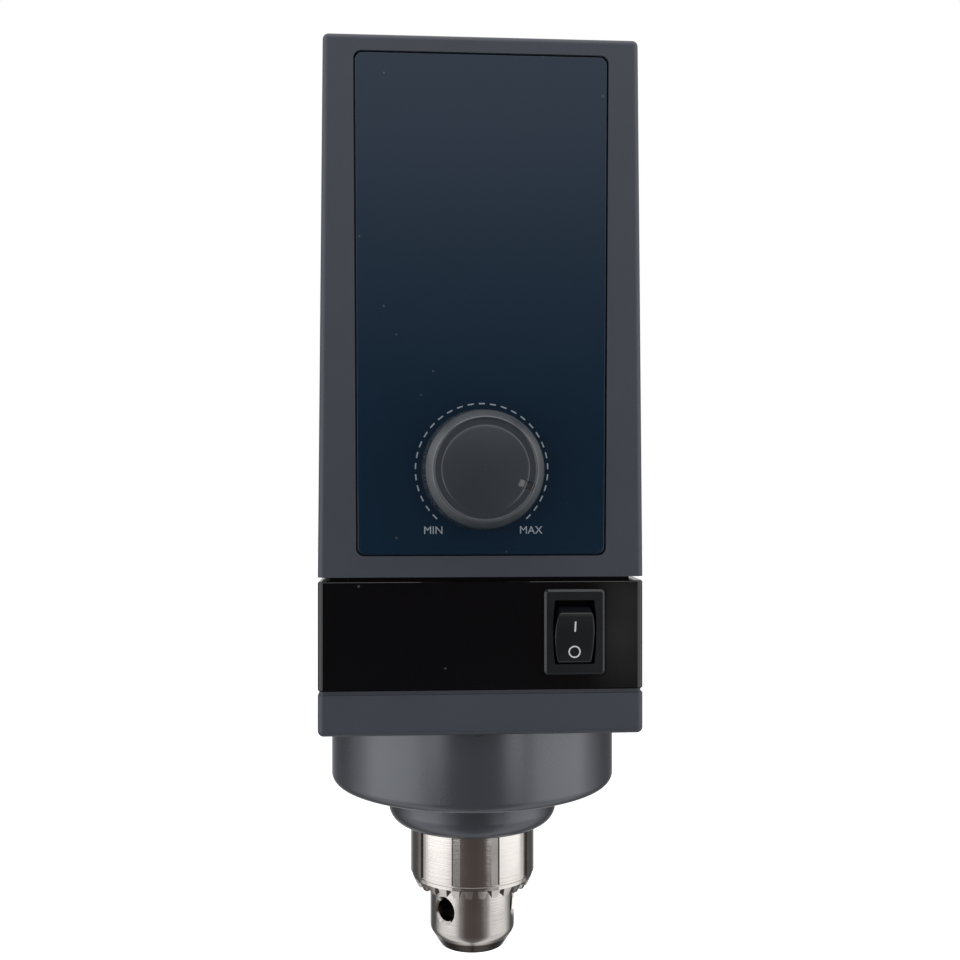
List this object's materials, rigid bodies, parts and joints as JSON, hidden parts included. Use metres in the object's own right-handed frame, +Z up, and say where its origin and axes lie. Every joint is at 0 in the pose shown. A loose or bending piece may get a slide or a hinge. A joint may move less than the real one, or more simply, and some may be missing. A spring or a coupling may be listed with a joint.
{
  "type": "overhead stirrer",
  "caption": "Electric laboratory overhead stirrer: tall drafted housing with panel, speed knob and rocker switch, round bearing nose, key-type chuck and rear stand rod",
  "frame": {"origin": "centre of the chuck's mouth, on the spindle axis, where the stirring shaft goes in", "axes": "+Z up along the spindle, -Y the front with the panel, +X to the right seen from the front"},
  "size_m": [0.0808, 0.2494, 0.2403],
  "materials": {
    "shell_paint": "matte dark grey, fine texture",
    "nose_paint": "satin dark grey",
    "panel_gloss": "glossy dark blue-black",
    "band_gloss": "glossy black",
    "knob_plastic": "satin dark grey",
    "switch_plastic": "black, satin",
    "steel_turned": "fine turned steel",
    "steel_plain": "ground steel",
    "zinc_plate": "zinc plated",
    "aluminium": "machined aluminium",
    "brass": "brass",
    "bronze": "sintered bronze",
    "copper": "enamelled copper wire",
    "iron_core": "laminated iron",
    "magnet": "ferrite",
    "carbon": "carbon",
    "spider_rubber": "red elastomer",
    "circuit_board": "green laminate",
    "component_plastic": "black moulded"
  },
  "bodies": {
    "casing": {"upper_shell": "shell_paint", "front_panel": "panel_gloss", "trim_band": "band_gloss", "base_ring": "shell_paint", "nose_housing": "nose_paint", "rear_cover": "shell_paint", "potentiometer": "zinc_plate", "pot_nut": "zinc_plate", "switch_housing": "switch_plastic", "switch_terminals": "brass", "bearing_outer_rings": "steel_plain", "bearing_retainer": "zinc_plate", "motor_plate": "aluminium", "frame_posts": "zinc_plate", "motor_can": "zinc_plate", "motor_magnets": "magnet", "carbon_brushes": "carbon", "motor_end_bell": "zinc_plate", "motor_bushes": "bronze", "rod_block": "aluminium", "support_rod": "steel_plain", "rod_set_screw": "steel_plain", "control_board": "circuit_board", "capacitors": "component_plastic", "driver_heatsink": "aluminium", "terminal_blocks": "component_plastic", "power_jack": "component_plastic", "jack_nut": "zinc_plate", "nose_screws": "zinc_plate", "retainer_screws": "zinc_plate", "post_screws": "zinc_plate", "motor_screws": "zinc_plate", "block_screws": "zinc_plate", "cover_screws": "zinc_plate", "board_screws": "zinc_plate"},
    "knob": {"speed_knob": "knob_plastic", "pot_shaft": "brass"},
    "switch_key": {"rocker": "switch_plastic"},
    "drive": {"chuck_body": "steel_turned", "spindle": "steel_plain", "spindle_circlip": "steel_plain", "bearing_inner_rings": "steel_plain", "bearing_spacer": "steel_plain", "coupling_lower": "aluminium", "coupling_upper": "aluminium", "coupling_spider": "spider_rubber", "motor_armature": "iron_core", "armature_windings": "copper", "motor_shaft": "steel_plain", "motor_commutator": "copper"},
    "chuck_ring": {"chuck_sleeve": "steel_turned", "chuck_nut": "steel_plain"},
    "jaw_one": {"jaw_1": "steel_plain"},
    "jaw_two": {"jaw_2": "steel_plain"},
    "jaw_three": {"jaw_3": "steel_plain"}
  },
  "joints": [
    {"name": "speed_knob_turn", "type": "hinge", "parent": "casing", "child": "knob", "pos_m": [0, -0.0423, 0.1326], "axis": [0, 1, 0], "range_deg": [-246, 24]},
    {"name": "switch_rock", "type": "hinge", "parent": "casing", "child": "switch_key", "pos_m": [0.0229, -0.0395, 0.0925], "axis": [-1, 0, 0], "range_deg": [0, 26]},
    {"name": "spindle_spin", "type": "hinge", "parent": "casing", "child": "drive", "pos_m": [0, 0, 0.05], "axis": [0, 0, 1], "continuous": true},
    {"name": "chuck_ring_turn", "type": "hinge", "parent": "drive", "child": "chuck_ring", "pos_m": [0, 0, 0.0217], "axis": [0, 0, 1], "range_deg": [0, 2857]},
    {"name": "jaw_one_slide", "type": "slide", "parent": "drive", "child": "jaw_one", "axis": [-0.0667, 0.2325, -0.9703], "range_m": [0, 0.01985]},
    {"name": "jaw_two_slide", "type": "slide", "parent": "drive", "child": "jaw_two", "axis": [-0.1681, -0.174, -0.9703], "range_m": [0, 0.01985]},
    {"name": "jaw_three_slide", "type": "slide", "parent": "drive", "child": "jaw_three", "axis": [0.2347, -0.0585, -0.9703], "range_m": [0, 0.01985]}
  ],
  "couplings": [
    {"joint": "jaw_one_slide", "follows": "chuck_ring_turn", "m_per_rad": 0.00039789},
    {"joint": "jaw_two_slide", "follows": "chuck_ring_turn", "m_per_rad": 0.00039789},
    {"joint": "jaw_three_slide", "follows": "chuck_ring_turn", "m_per_rad": 0.00039789}
  ]
}
